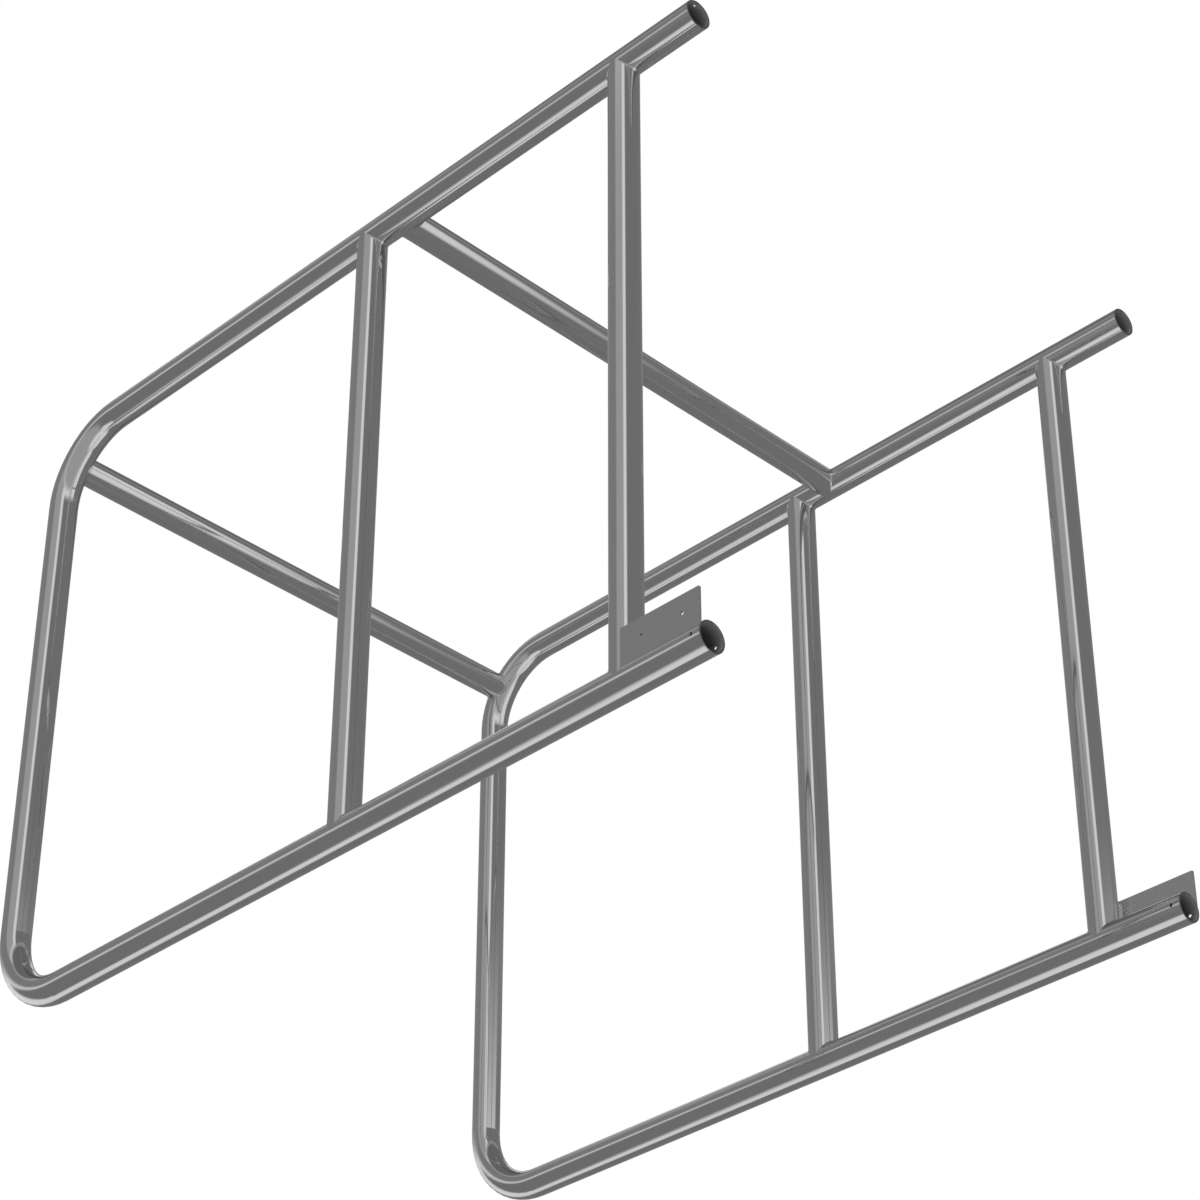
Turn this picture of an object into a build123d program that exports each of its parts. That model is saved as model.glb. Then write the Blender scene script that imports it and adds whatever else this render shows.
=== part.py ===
from build123d import *
import math
import os

# Welded tube stand: two side frames of U-bent tube, joined by two cross tubes.
# Millimetres, +Z up, +X towards the open tube ends, origin on the ground below the middle.

# Overall
overall_length = 1000.0
overall_width = 697.0
overall_height = 750.0

# Tube, the same for every member
tube_diameter = 32.0
tube_wall = 2.0
bend_radius = 88.0  # at the tube's centreline
end_edge_break = 0.3  # rounding of the dressed tube ends

# Uprights and the top cross tube, each from the open tube ends back to its axis
end_upright_setback = 101.0
mid_upright_setback = 469.0
top_cross_setback = 424.0

# Cross tube at the closed end, which meets the upper bends
end_cross_angle = 36.1  # above the bend's centre, in degrees
end_cross_standout = 3.6  # beyond the bend's centreline

# Small holes near the open ends
cross_hole_diameter = 4.0
cross_hole_setback = 10.0
vent_hole_diameter = 3.0
vent_hole_setback = 5.0

# Two-hole plates on the outer shoulders of the bottom rails
plate_thickness = 2.0
plate_inset = 1.3  # from the tube's outermost line in to the plate's outer face
plate_top = 46.0  # above the bottom rail's axis
plate_corner_radius = 1.5
plate_hole_diameter = 4.0
plate_hole_height = 27.0  # above the bottom rail's axis
plate_hole_setback = 21.0  # of the outer hole
plate_hole_pitch = 48.5

# Welds
tee_weld_leg = 1.6
tee_weld_spread = 0.995  # how far a tee weld's face spans sideways, as a share of the tube's radius
bend_weld_leg = 1.0
plate_weld_leg = 3.0

# Worked out from the sizes above
tube_radius = tube_diameter / 2
bore_radius = tube_radius - tube_wall
open_end = overall_length / 2
closed_end = tube_radius - overall_length / 2
frame_y = (overall_width - tube_diameter) / 2
bottom_axis = tube_radius
top_axis = overall_height - tube_radius
end_upright_x = open_end - end_upright_setback
mid_upright_x = open_end - mid_upright_setback
top_cross_x = open_end - top_cross_setback
bend_x = closed_end + bend_radius
lower_bend_z = bottom_axis + bend_radius
upper_bend_z = top_axis - bend_radius
end_cross_reach = bend_radius + end_cross_standout
end_cross_x = bend_x - end_cross_reach * math.cos(math.radians(end_cross_angle))
end_cross_z = upper_bend_z + end_cross_reach * math.sin(math.radians(end_cross_angle))
plate_outer = tube_radius - plate_inset
plate_inner = plate_outer - plate_thickness
stub_length = 2 * tube_diameter  # short tubes and cutters, well past the tube on both sides

sides = {"near": -1, "far": 1}  # the sign of each side frame's Y
bar_of = {}
outward_align = {"near": Align.MAX, "far": Align.MIN}

os.makedirs("parts", exist_ok=True)


def rise(offset):
    # height of a tube's surface above its axis, at a sideways offset from the axis
    return math.sqrt(tube_radius**2 - offset**2)


def bent_bar(y, radius=tube_radius, bore=0.0):
    # a side frame's U-bent member along its whole path, solid unless it has a bore
    with BuildPart() as bar:
        with BuildLine(Plane.XZ.offset(-y)) as path:
            bottom_rail = Line((open_end, bottom_axis), (bend_x, bottom_axis))
            lower_bend = RadiusArc(bottom_rail @ 1, (closed_end, lower_bend_z), bend_radius)
            closed_upright = Line(lower_bend @ 1, (closed_end, upper_bend_z))
            upper_bend = RadiusArc(closed_upright @ 1, (bend_x, top_axis), bend_radius)
            Line(upper_bend @ 1, (open_end, top_axis))
        with BuildSketch(Plane((open_end, y, bottom_axis), x_dir=(0, 0, 1), z_dir=(-1, 0, 0))):
            Circle(radius)
            if bore:
                Circle(bore, mode=Mode.SUBTRACT)
        sweep(path=path.line)
    return bar.part


def straight_bar(plane, length, radius=tube_radius, bore=0.0):
    # a straight member from a plane along its normal, solid unless it has a bore
    with BuildPart() as bar:
        with BuildSketch(plane):
            Circle(radius)
            if bore:
                Circle(bore, mode=Mode.SUBTRACT)
        extrude(amount=length)
    return bar.part


# ---- Weld of a tee: the rail along X, the branch up along Z, both axes through the origin.
# Its sloping face is part of an elliptic cylinder, so it thins out towards the sides,
# where the two tubes are tangent.
rail_stub = straight_bar(Plane((-stub_length, 0, 0), z_dir=(1, 0, 0)), 2 * stub_length)
branch_stub = straight_bar(Plane.XY, stub_length)

with BuildPart() as tee_weld:
    with BuildSketch(Plane((0, 0, 0), x_dir=(1, 0, 1), z_dir=(-1, 0, 1))):
        Ellipse(math.sqrt(2) * (tube_radius + tee_weld_leg / 2), tee_weld_spread * tube_radius)
    extrude(amount=tube_diameter, both=True)
    Box(
        stub_length,
        stub_length,
        stub_length,
        align=(Align.MIN, Align.CENTER, Align.MIN),
        mode=Mode.INTERSECT,
    )
    add(rail_stub, mode=Mode.SUBTRACT)
    add(branch_stub, mode=Mode.SUBTRACT)
    mirror(about=Plane.YZ)


# ---- Side frames
for side_name, side in sides.items():
    side_y = side * frame_y
    bar_of[side_name] = bent_bar(side_y)

    with BuildPart() as side_tube:
        add(bent_bar(side_y, bore=bore_radius))
        fillet(side_tube.edges().group_by(Axis.X)[-1], radius=end_edge_break)
        cross_hole = Plane((open_end - cross_hole_setback, side_y, bottom_axis), z_dir=(0, 1, 0))
        with Locations(cross_hole):
            Cylinder(cross_hole_diameter / 2, stub_length, mode=Mode.SUBTRACT)
        if side_name == "near":
            with Locations((open_end - vent_hole_setback, side_y, overall_height)):
                Cylinder(vent_hole_diameter / 2, tube_diameter, mode=Mode.SUBTRACT)
    side_tube.part.label = f"{side_name}_side_tube"
    export_step(side_tube.part, f"parts/{side_name}_side_tube.step")

    for place, upright_x in {"mid": mid_upright_x, "end": end_upright_x}.items():
        foot = Plane((upright_x, side_y, bottom_axis), x_dir=(1, 0, 0), z_dir=(0, 0, 1))
        head = Plane((upright_x, side_y, top_axis), x_dir=(1, 0, 0), z_dir=(0, 0, -1))

        with BuildPart() as upright:
            add(straight_bar(foot, top_axis - bottom_axis, bore=bore_radius))
            add(bar_of[side_name], mode=Mode.SUBTRACT)
        upright.part.label = f"{side_name}_{place}_upright"
        export_step(upright.part, f"parts/{side_name}_{place}_upright.step")

        for joint, seat in {"top": head, "bottom": foot}.items():
            with BuildPart() as weld:
                with Locations(seat):
                    add(tee_weld.part)
                if (place, joint) == ("end", "bottom"):
                    # this weld stops at the inner face of the hole plate
                    with Locations((upright_x, side_y + side * plate_inner, bottom_axis)):
                        Box(
                            stub_length,
                            stub_length,
                            stub_length,
                            align=(Align.MIN, outward_align[side_name], Align.MIN),
                            mode=Mode.SUBTRACT,
                        )
            weld.part.label = f"{side_name}_{place}_upright_{joint}_weld"
            export_step(weld.part, f"parts/{side_name}_{place}_upright_{joint}_weld.step")

# ---- Cross tubes, coped onto both side frames
cross_tubes = {"top": (top_cross_x, top_axis), "closed_end": (end_cross_x, end_cross_z)}
for place, (cross_x, cross_z) in cross_tubes.items():
    near_seat = Plane((cross_x, -frame_y, cross_z), x_dir=(1, 0, 0), z_dir=(0, 1, 0))
    with BuildPart() as cross_tube:
        add(straight_bar(near_seat, 2 * frame_y, bore=bore_radius))
        for side_name in sides:
            add(bar_of[side_name], mode=Mode.SUBTRACT)
    cross_tube.part.label = f"{place}_cross_tube"
    export_step(cross_tube.part, f"parts/{place}_cross_tube.step")

for side_name, side in sides.items():
    tee_seat = Plane((top_cross_x, side * frame_y, top_axis), x_dir=(1, 0, 0), z_dir=(0, -side, 0))
    with BuildPart() as top_cross_weld:
        with Locations(tee_seat):
            add(tee_weld.part)
    top_cross_weld.part.label = f"top_cross_tube_{side_name}_weld"
    export_step(top_cross_weld.part, f"parts/top_cross_tube_{side_name}_weld.step")

    # The closed-end tube meets a bend: its weld is what both tubes share once grown by its leg,
    # and a flat bead closes the crescent of its bore that stands outside the bend.
    bend_seat = Plane(
        (end_cross_x, side * frame_y, end_cross_z), x_dir=(1, 0, 0), z_dir=(0, -side, 0)
    )
    grown_radius = tube_radius + bend_weld_leg
    with BuildPart() as closed_end_weld:
        add(bent_bar(side * frame_y, grown_radius))
        add(straight_bar(bend_seat, stub_length, grown_radius), mode=Mode.INTERSECT)
        add(straight_bar(bend_seat, stub_length), mode=Mode.SUBTRACT)
        with BuildSketch(bend_seat):
            Circle(bore_radius)
        extrude(amount=tube_wall)
        add(bar_of[side_name], mode=Mode.SUBTRACT)
    closed_end_weld.part.label = f"closed_end_cross_tube_{side_name}_weld"
    export_step(closed_end_weld.part, f"parts/closed_end_cross_tube_{side_name}_weld.step")

# ---- Two-hole plates, each standing on its rail's outer shoulder against the end upright
weld_toe = plate_inner - plate_weld_leg
weld_start = rise(weld_toe) + tee_weld_leg  # clear of the tee's own weld
weld_profile = [
    (plate_inner, rise(plate_inner)),
    (plate_inner, rise(plate_inner) + plate_weld_leg),
    (weld_toe, rise(weld_toe)),
    (weld_toe, rise(plate_inner)),
]
for side_name, side in sides.items():
    side_y = side * frame_y
    end_upright_foot = Plane((end_upright_x, side_y, bottom_axis), x_dir=(1, 0, 0), z_dir=(0, 0, 1))
    end_upright_bar = straight_bar(end_upright_foot, top_axis - bottom_axis)

    with BuildPart() as hole_plate:
        with BuildSketch(Plane.XZ.offset(-side_y - side * plate_inner)) as outline:
            with Locations((end_upright_x, bottom_axis)):
                Rectangle(end_upright_setback, plate_top, align=(Align.MIN, Align.MIN))
            fillet(outline.vertices().sort_by(Axis.X)[-2:].sort_by(Axis.Y)[-1], plate_corner_radius)
            with Locations(
                (open_end - plate_hole_setback, bottom_axis + plate_hole_height),
                (open_end - plate_hole_setback - plate_hole_pitch, bottom_axis + plate_hole_height),
            ):
                Circle(plate_hole_diameter / 2, mode=Mode.SUBTRACT)
        extrude(amount=-side * plate_thickness)
        add(bar_of[side_name], mode=Mode.SUBTRACT)
        add(end_upright_bar, mode=Mode.SUBTRACT)
    hole_plate.part.label = f"{side_name}_hole_plate"
    export_step(hole_plate.part, f"parts/{side_name}_hole_plate.step")

    # Both welds have one profile, drawn outwards from a tube's axis and up off its surface
    rail_weld_seat = Plane(
        (end_upright_x + weld_start, side_y, bottom_axis), x_dir=(0, side, 0), z_dir=(side, 0, 0)
    )
    with BuildPart() as rail_weld:
        with BuildSketch(rail_weld_seat):
            with BuildLine():
                Polyline(*weld_profile, close=True)
            make_face()
        extrude(amount=side * (end_upright_setback - weld_start - plate_weld_leg))
        add(bar_of[side_name], mode=Mode.SUBTRACT)
    rail_weld.part.label = f"{side_name}_plate_rail_weld"
    export_step(rail_weld.part, f"parts/{side_name}_plate_rail_weld.step")

    upright_weld_seat = Plane(
        (end_upright_x, side_y, bottom_axis + weld_start), x_dir=(0, side, 0), z_dir=(0, 0, -side)
    )
    with BuildPart() as upright_weld:
        with BuildSketch(upright_weld_seat):
            with BuildLine():
                Polyline(*weld_profile, close=True)
            make_face()
        extrude(amount=-side * (plate_top - weld_start - plate_weld_leg))
        add(end_upright_bar, mode=Mode.SUBTRACT)
    upright_weld.part.label = f"{side_name}_plate_upright_weld"
    export_step(upright_weld.part, f"parts/{side_name}_plate_upright_weld.step")
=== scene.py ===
import math
import bpy
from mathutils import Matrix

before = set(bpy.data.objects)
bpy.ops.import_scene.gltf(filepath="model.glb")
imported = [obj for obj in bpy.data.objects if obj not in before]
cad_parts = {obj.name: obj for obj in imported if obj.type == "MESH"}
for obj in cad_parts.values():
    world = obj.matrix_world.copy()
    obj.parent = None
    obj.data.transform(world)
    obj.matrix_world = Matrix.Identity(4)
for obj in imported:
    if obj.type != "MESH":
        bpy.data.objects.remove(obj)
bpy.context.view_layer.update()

print("frame loaded,", len(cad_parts), "nodes")


def linearRgb(hexColour):
    # sRGB hex to the linear values that Blender's sockets hold
    channels = [int(hexColour[i:i + 2], 16) / 255 for i in (0, 2, 4)]
    return [c / 12.92 if c <= 0.04045 else ((c + 0.055) / 1.055) ** 2.4 for c in channels] + [1]


def newMaterial(name):
    material = bpy.data.materials.new(name)
    material.use_nodes = True
    material.node_tree.nodes.clear()
    return material


def addNode(tree, kind, settings={}, inputs={}):
    # one node with its settings, and each input set to a value or linked from another socket
    node = tree.nodes.new(kind)
    for key, value in settings.items():
        setattr(node, key, value)
    for key, value in inputs.items():
        if isinstance(value, bpy.types.NodeSocket):
            tree.links.new(value, node.inputs[key])
        else:
            node.inputs[key].default_value = value
    return node


# Grade 304 stainless tube, drawn, bent and belt-polished to a mirror: a hard reflection
# that wanders a little with the shallow waves left by drawing and buffing.
polishedTube = {
    "colour": "c8c8c8",
    "roughness": (0.05, 0.09),
    "patchMm": 60,
    "waveMm": 130,
    "waveDepthMm": 0.02,
}
# The same tube inside, as it left the mill: dull and scaled, with painted light at the mouth, drawn lighter
# where light falls into the open end
millBore = {
    "colours": ("646464", "6c6c6c"),
    # the mouth colour is painted light: the bore is drawn lighter near the open end, where light falls in
    "mouthPaintedLight": "9c9c9c",
    "mouthFrom": 0.485,
    "metallic": 0.3,
    "roughness": 0.5,
    "cloudMm": 25,
    "railHeights": (0.016, 0.734),
    "railReach": 0.3325,
    "wallMiddle": 0.0149,
    "openPart": 0.3,
}
# Its sawn and deburred end face, with saw lines coarser than real so that they show
sawnRim = {
    "colour": "868686",
    "roughness": (0.2, 0.36),
    "faceAt": 0.4997,
    "lineMm": 1.2,
}
# Sheet in the 2B mill finish, rolled smooth but not polished: an even grey with faint rolling
# grain, drawn coarser than real so that it shows
rolledSheet = {
    "colours": ("c0c0c0", "c5c5c5"),
    "roughness": (0.25, 0.26),
    "grainMm": (14, 3),
    "cloudMm": 18,
}
# Welds ground with a flap disc and buffed by hand: the tube's colour, a little softer in the
# mirror, with scratches coarser than real so that they show
dressedWeld = {
    "colours": ("bcbcbb", "c8c8c7"),
    "roughness": (0.08, 0.16),
    "scratchMm": 2.5,
    "scratchDepthMm": 0.004,
}


def polishedSurface(tree, place):
    # the belt-polished skin: roughness that drifts in patches, and shallow drawing waves
    patches = addNode(tree, "ShaderNodeTexNoise", {}, {
        "Vector": place, "Scale": 1000 / polishedTube["patchMm"], "Detail": 3})
    low, high = polishedTube["roughness"]
    roughness = addNode(tree, "ShaderNodeMapRange", {}, {
        "Value": patches.outputs["Fac"], "From Min": 0.3, "From Max": 0.7, "To Min": low, "To Max": high})
    waves = addNode(tree, "ShaderNodeTexNoise", {}, {
        "Vector": place, "Scale": 1000 / polishedTube["waveMm"], "Detail": 1})
    bump = addNode(tree, "ShaderNodeBump", {}, {
        "Height": waves.outputs["Fac"], "Distance": polishedTube["waveDepthMm"] / 1000, "Strength": 1})
    return roughness.outputs["Result"], bump.outputs["Normal"]


def makePolishedTube():
    material = newMaterial("polishedStainlessTube")
    tree = material.node_tree
    place = addNode(tree, "ShaderNodeTexCoord").outputs["Object"]
    roughness, normal = polishedSurface(tree, place)
    shader = addNode(tree, "ShaderNodeBsdfPrincipled", {}, {
        "Base Color": linearRgb(polishedTube["colour"]), "Metallic": 1,
        "Roughness": roughness, "Normal": normal})
    addNode(tree, "ShaderNodeOutputMaterial", {}, {"Surface": shader.outputs["BSDF"]})
    return material


def makeOpenTube():
    # a polished tube with its mill-finished bore and sawn end faces
    material = newMaterial("openPolishedTube")
    tree = material.node_tree
    place = addNode(tree, "ShaderNodeTexCoord").outputs["Object"]
    skinRoughness, normal = polishedSurface(tree, place)

    # inBore is 1 on the wall's inner half near the open end, onRim is 1 on the end face
    split = addNode(tree, "ShaderNodeSeparateXYZ", {}, {0: place})
    along, across, up = (split.outputs[name] for name in "XYZ")
    reach = addNode(tree, "ShaderNodeMath", {"operation": "ABSOLUTE"}, {0: across})
    sideways = addNode(tree, "ShaderNodeMath", {"operation": "SUBTRACT"}, {
        0: reach.outputs[0], 1: millBore["railReach"]})
    upward = []
    for height in millBore["railHeights"]:
        rise = addNode(tree, "ShaderNodeMath", {"operation": "SUBTRACT"}, {0: up, 1: height})
        upward.append(addNode(tree, "ShaderNodeMath", {"operation": "ABSOLUTE"}, {0: rise.outputs[0]}))
    nearer = addNode(tree, "ShaderNodeMath", {"operation": "MINIMUM"}, {
        0: upward[0].outputs[0], 1: upward[1].outputs[0]})
    corner = addNode(tree, "ShaderNodeCombineXYZ", {}, {"X": sideways.outputs[0], "Y": nearer.outputs[0]})
    fromAxis = addNode(tree, "ShaderNodeVectorMath", {"operation": "LENGTH"}, {0: corner.outputs[0]})
    inWall = addNode(tree, "ShaderNodeMath", {"operation": "LESS_THAN"}, {
        0: fromAxis.outputs["Value"], 1: millBore["wallMiddle"]})
    inReach = addNode(tree, "ShaderNodeMath", {"operation": "GREATER_THAN"}, {
        0: along, 1: millBore["openPart"]})
    inBore = addNode(tree, "ShaderNodeMath", {"operation": "MULTIPLY"}, {
        0: inWall.outputs[0], 1: inReach.outputs[0]}).outputs[0]
    onRim = addNode(tree, "ShaderNodeMath", {"operation": "GREATER_THAN"}, {
        0: along, 1: sawnRim["faceAt"]}).outputs[0]

    # the bore's clouds, with painted light making the bore lighter towards the mouth, then skin, bore and
    # rim laid over each other
    clouds = addNode(tree, "ShaderNodeTexNoise", {}, {
        "Vector": place, "Scale": 1000 / millBore["cloudMm"], "Detail": 3})
    mouth = addNode(tree, "ShaderNodeMapRange", {"interpolation_type": "SMOOTHSTEP"}, {
        "Value": along, "From Min": millBore["mouthFrom"], "From Max": sawnRim["faceAt"]})
    darker, lighter = (linearRgb(colour) for colour in millBore["colours"])
    boreColour = addNode(tree, "ShaderNodeMix", {"data_type": "RGBA"}, {
        "Factor": clouds.outputs["Fac"], 6: darker, 7: lighter})
    mouthPaintedLight = addNode(tree, "ShaderNodeMix", {"data_type": "RGBA"}, {
        "Factor": mouth.outputs["Result"], 6: boreColour.outputs[2], 7: linearRgb(millBore["mouthPaintedLight"])})
    wallColour = addNode(tree, "ShaderNodeMix", {"data_type": "RGBA"}, {
        "Factor": inBore, 6: linearRgb(polishedTube["colour"]), 7: mouthPaintedLight.outputs[2]})
    colour = addNode(tree, "ShaderNodeMix", {"data_type": "RGBA"}, {
        "Factor": onRim, 6: wallColour.outputs[2], 7: linearRgb(sawnRim["colour"])})
    wallMetallic = addNode(tree, "ShaderNodeMapRange", {}, {
        "Value": inBore, "To Min": 1, "To Max": millBore["metallic"]})
    metallic = addNode(tree, "ShaderNodeMapRange", {}, {
        "Value": onRim, "To Min": wallMetallic.outputs["Result"], "To Max": 1})
    sawn = addNode(tree, "ShaderNodeTexNoise", {}, {
        "Vector": place, "Scale": 1000 / sawnRim["lineMm"], "Detail": 2})
    low, high = sawnRim["roughness"]
    rimRoughness = addNode(tree, "ShaderNodeMapRange", {}, {
        "Value": sawn.outputs["Fac"], "To Min": low, "To Max": high})
    wallRoughness = addNode(tree, "ShaderNodeMapRange", {}, {
        "Value": inBore, "To Min": skinRoughness, "To Max": millBore["roughness"]})
    roughness = addNode(tree, "ShaderNodeMapRange", {}, {
        "Value": onRim, "To Min": wallRoughness.outputs["Result"], "To Max": rimRoughness.outputs["Result"]})
    shader = addNode(tree, "ShaderNodeBsdfPrincipled", {}, {
        "Base Color": colour.outputs[2], "Metallic": metallic.outputs["Result"],
        "Roughness": roughness.outputs["Result"], "Normal": normal})
    addNode(tree, "ShaderNodeOutputMaterial", {}, {"Surface": shader.outputs["BSDF"]})
    return material


def makeRolledSheet():
    material = newMaterial("rolledStainlessSheet")
    tree = material.node_tree
    place = addNode(tree, "ShaderNodeTexCoord").outputs["Object"]
    length, width = rolledSheet["grainMm"]
    drawnOut = addNode(tree, "ShaderNodeVectorMath", {"operation": "MULTIPLY"}, {
        0: place, 1: (width / length, 1, 1)})
    grain = addNode(tree, "ShaderNodeTexNoise", {}, {
        "Vector": drawnOut.outputs[0], "Scale": 1000 / width, "Detail": 3})
    low, high = rolledSheet["roughness"]
    roughness = addNode(tree, "ShaderNodeMapRange", {}, {
        "Value": grain.outputs["Fac"], "From Min": 0.3, "From Max": 0.7, "To Min": low, "To Max": high})
    clouds = addNode(tree, "ShaderNodeTexNoise", {}, {
        "Vector": place, "Scale": 1000 / rolledSheet["cloudMm"], "Detail": 3})
    darker, lighter = (linearRgb(colour) for colour in rolledSheet["colours"])
    colour = addNode(tree, "ShaderNodeMix", {"data_type": "RGBA"}, {
        "Factor": clouds.outputs["Fac"], 6: darker, 7: lighter})
    shader = addNode(tree, "ShaderNodeBsdfPrincipled", {}, {
        "Base Color": colour.outputs[2], "Metallic": 1, "Roughness": roughness.outputs["Result"]})
    addNode(tree, "ShaderNodeOutputMaterial", {}, {"Surface": shader.outputs["BSDF"]})
    return material


def makeDressedWeld():
    material = newMaterial("dressedStainlessWeld")
    tree = material.node_tree
    place = addNode(tree, "ShaderNodeTexCoord").outputs["Object"]
    scratches = addNode(tree, "ShaderNodeTexNoise", {}, {
        "Vector": place, "Scale": 1000 / dressedWeld["scratchMm"], "Detail": 3}).outputs["Fac"]
    low, high = dressedWeld["roughness"]
    roughness = addNode(tree, "ShaderNodeMapRange", {}, {
        "Value": scratches, "From Min": 0.3, "From Max": 0.7, "To Min": low, "To Max": high})
    darker, lighter = (linearRgb(colour) for colour in dressedWeld["colours"])
    colour = addNode(tree, "ShaderNodeMix", {"data_type": "RGBA"}, {
        "Factor": scratches, 6: darker, 7: lighter})
    bump = addNode(tree, "ShaderNodeBump", {}, {
        "Height": scratches, "Distance": dressedWeld["scratchDepthMm"] / 1000, "Strength": 1})
    shader = addNode(tree, "ShaderNodeBsdfPrincipled", {}, {
        "Base Color": colour.outputs[2], "Metallic": 1,
        "Roughness": roughness.outputs["Result"], "Normal": bump.outputs["Normal"]})
    addNode(tree, "ShaderNodeOutputMaterial", {}, {"Surface": shader.outputs["BSDF"]})
    return material


tubeSteel, openTube = makePolishedTube(), makeOpenTube()
plateSteel, weldSteel = makeRolledSheet(), makeDressedWeld()
for name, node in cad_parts.items():
    if name.endswith("_weld"):
        finish = weldSteel
    elif name.endswith("_plate"):
        finish = plateSteel
    elif name.endswith("_side_tube"):
        finish = openTube
    else:
        finish = tubeSteel
    node.data.materials.clear()
    node.data.materials.append(finish)
print("materials made")

# Studio: broad soft-edged boards that stand round the object and that only mirrors see.
# Between them the metal shows the white background. Angles are in degrees, azimuth from
# +X towards +Y and elevation up from the ground, and a later board covers an earlier one.
studio = {
    "centre": (0, 0, 0.375),
    "radius": 40,
}
boards = {
    "ceiling": {"azimuth": (-180, 180), "elevation": (50, 90), "bright": 0.2, "soft": 6},
    "frontSide": {"azimuth": (-125, -5), "elevation": (-62, 14), "bright": 0.5, "soft": 8},
    "farSide": {"azimuth": (104, 158), "elevation": (-65, 42), "bright": 0.24, "soft": 6},
    "closedEnd": {"azimuth": (-172, -116), "elevation": (-50, 12), "bright": 0.25, "soft": 6},
    "nearSide": {"azimuth": (-115, -62), "elevation": (15, 45), "bright": 0.5, "soft": 4},
    "highFar": {"azimuth": (-43, 115), "elevation": (26, 50), "bright": 0.25, "soft": 4},
    "highNear": {"azimuth": (-200, -112), "elevation": (20, 50), "bright": 0.3, "soft": 6},
    "openEnd": {"azimuth": (33, 110), "elevation": (-65, 28), "bright": 0.25, "soft": 3},
}


def makeBoardPaint():
    material = newMaterial("boardPaint")
    tree = material.node_tree
    place = addNode(tree, "ShaderNodeTexCoord").outputs["Object"]
    ray = addNode(tree, "ShaderNodeVectorMath", {"operation": "NORMALIZE"}, {0: place}).outputs[0]
    split = addNode(tree, "ShaderNodeSeparateXYZ", {}, {0: ray})
    turn = addNode(tree, "ShaderNodeMath", {"operation": "ARCTAN2"}, {
        0: split.outputs["Y"], 1: split.outputs["X"]})
    azimuth = addNode(tree, "ShaderNodeMath", {"operation": "DEGREES"}, {0: turn.outputs[0]}).outputs[0]
    tilt = addNode(tree, "ShaderNodeMath", {"operation": "ARCSINE"}, {0: split.outputs["Z"]})
    elevation = addNode(tree, "ShaderNodeMath", {"operation": "DEGREES"}, {0: tilt.outputs[0]}).outputs[0]
    # nothing stands between the boards, so the world shows through there
    surface = addNode(tree, "ShaderNodeBsdfTransparent").outputs[0]
    for board in boards.values():
        masks = []
        for angle, (low, high) in ((azimuth, board["azimuth"]), (elevation, board["elevation"])):
            middle, half = (low + high) / 2, (high - low) / 2
            away = addNode(tree, "ShaderNodeMath", {"operation": "SUBTRACT"}, {0: angle, 1: middle})
            # the shorter way round, so a board may stand across 180 degrees
            short = addNode(tree, "ShaderNodeMath", {"operation": "WRAP"}, {
                0: away.outputs[0], 1: -180, 2: 180})
            reach = addNode(tree, "ShaderNodeMath", {"operation": "ABSOLUTE"}, {0: short.outputs[0]})
            masks.append(addNode(tree, "ShaderNodeMapRange", {"interpolation_type": "SMOOTHSTEP"}, {
                "Value": reach.outputs[0],
                "From Min": half + board["soft"], "From Max": half - board["soft"]}))
        mask = addNode(tree, "ShaderNodeMath", {"operation": "MULTIPLY"}, {
            0: masks[0].outputs["Result"], 1: masks[1].outputs["Result"]})
        glow = addNode(tree, "ShaderNodeEmission", {}, {"Strength": board["bright"]})
        surface = addNode(tree, "ShaderNodeMixShader", {}, {
            0: mask.outputs[0], 1: surface, 2: glow.outputs[0]}).outputs[0]
    addNode(tree, "ShaderNodeOutputMaterial", {}, {"Surface": surface})
    return material


bpy.ops.object.select_all(action="DESELECT")
bpy.ops.mesh.primitive_uv_sphere_add(
    segments=64, ring_count=32, radius=studio["radius"], location=studio["centre"])
surround = bpy.context.object
surround.name = "studioBoards"
surround.data.materials.append(makeBoardPaint())
surround.visible_camera = False
surround.visible_diffuse = False
surround.visible_transmission = False
surround.visible_volume_scatter = False
surround.visible_shadow = False
print("studio placed")

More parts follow.
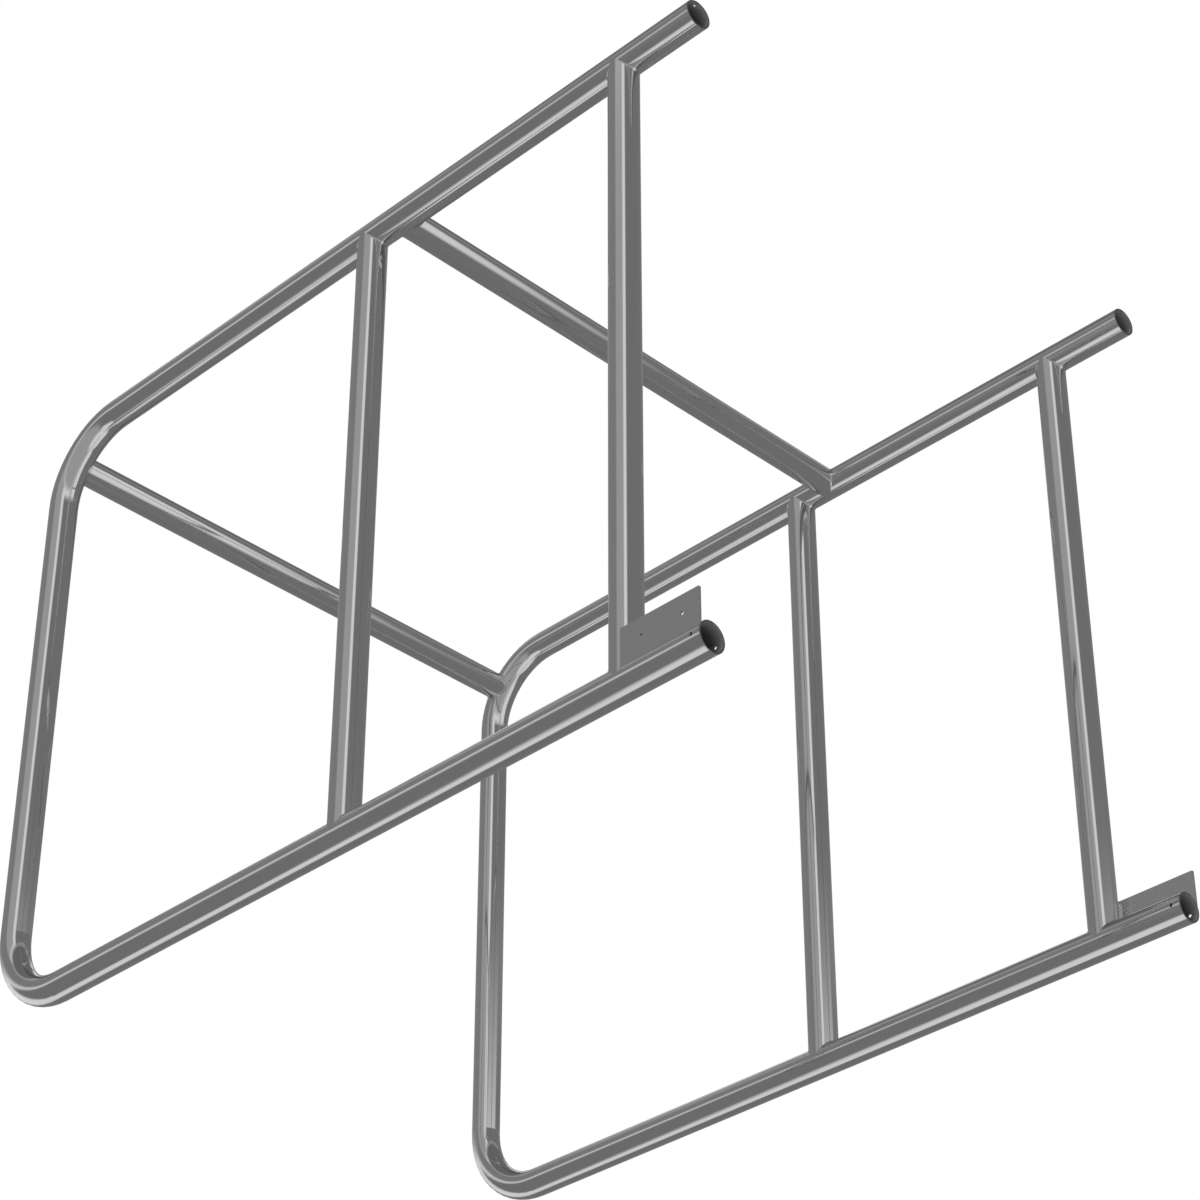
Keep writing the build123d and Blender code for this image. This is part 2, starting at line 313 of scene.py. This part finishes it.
# Floor, seen only from above, so that a low camera looks through it, and left out of mirrors
floor = {"size": 30, "drop": 0.0005, "colour": "f2f2f0"}
bpy.ops.mesh.primitive_plane_add(size=floor["size"], location=(0, 0, -floor["drop"]))
floorPlane = bpy.context.object
floorPlane.name = "studioFloor"
floorMaterial = newMaterial("floorPaper")
tree = floorMaterial.node_tree
paper = addNode(tree, "ShaderNodeBsdfDiffuse", {}, {"Color": linearRgb(floor["colour"])})
facing = addNode(tree, "ShaderNodeNewGeometry")
clear = addNode(tree, "ShaderNodeBsdfTransparent")
floorSurface = addNode(tree, "ShaderNodeMixShader", {}, {
    0: facing.outputs["Backfacing"], 1: paper.outputs[0], 2: clear.outputs[0]})
addNode(tree, "ShaderNodeOutputMaterial", {}, {"Surface": floorSurface.outputs[0]})
floorPlane.data.materials.append(floorMaterial)
floorPlane.visible_glossy = False

# World: white to the camera and in the metal, a little lower as a lamp
world = bpy.data.worlds.new("paperWhite")
bpy.context.scene.world = world
world.use_nodes = True
world.node_tree.nodes.clear()
tree = world.node_tree
ray = addNode(tree, "ShaderNodeLightPath")
seen = ray.outputs["Is Camera Ray"]
for kind in ("Is Glossy Ray", "Is Transmission Ray"):
    seen = addNode(tree, "ShaderNodeMath", {"operation": "MAXIMUM"}, {
        0: seen, 1: ray.outputs[kind]}).outputs[0]
strength = addNode(tree, "ShaderNodeMapRange", {}, {"Value": seen, "To Min": 0.7, "To Max": 1})
sky = addNode(tree, "ShaderNodeBackground", {}, {"Color": (1, 1, 1, 1), "Strength": strength.outputs[0]})
addNode(tree, "ShaderNodeOutputWorld", {}, {"Surface": sky.outputs[0]})

sun = {"power": 0.9, "angle": 25, "turn": (32, 12, 0)}
bpy.ops.object.light_add(type="SUN", rotation=[math.radians(t) for t in sun["turn"]])
lamp = bpy.context.object
lamp.data.energy = sun["power"]
lamp.data.angle = math.radians(sun["angle"])
lamp.visible_glossy = False
print("floor, world and lamp placed")

# Camera
view = {"place": (2.09137, -2.05604, -1.53183), "turn": (124.071, -0.013, 45.016), "lens": 100.09}
bpy.ops.object.camera_add(location=view["place"], rotation=[math.radians(t) for t in view["turn"]])
camera = bpy.context.object
camera.data.lens = view["lens"]
camera.data.sensor_width = 36
camera.data.clip_end = 200
bpy.context.scene.camera = camera
bpy.context.scene.view_settings.view_transform = "Standard"
print("camera placed")
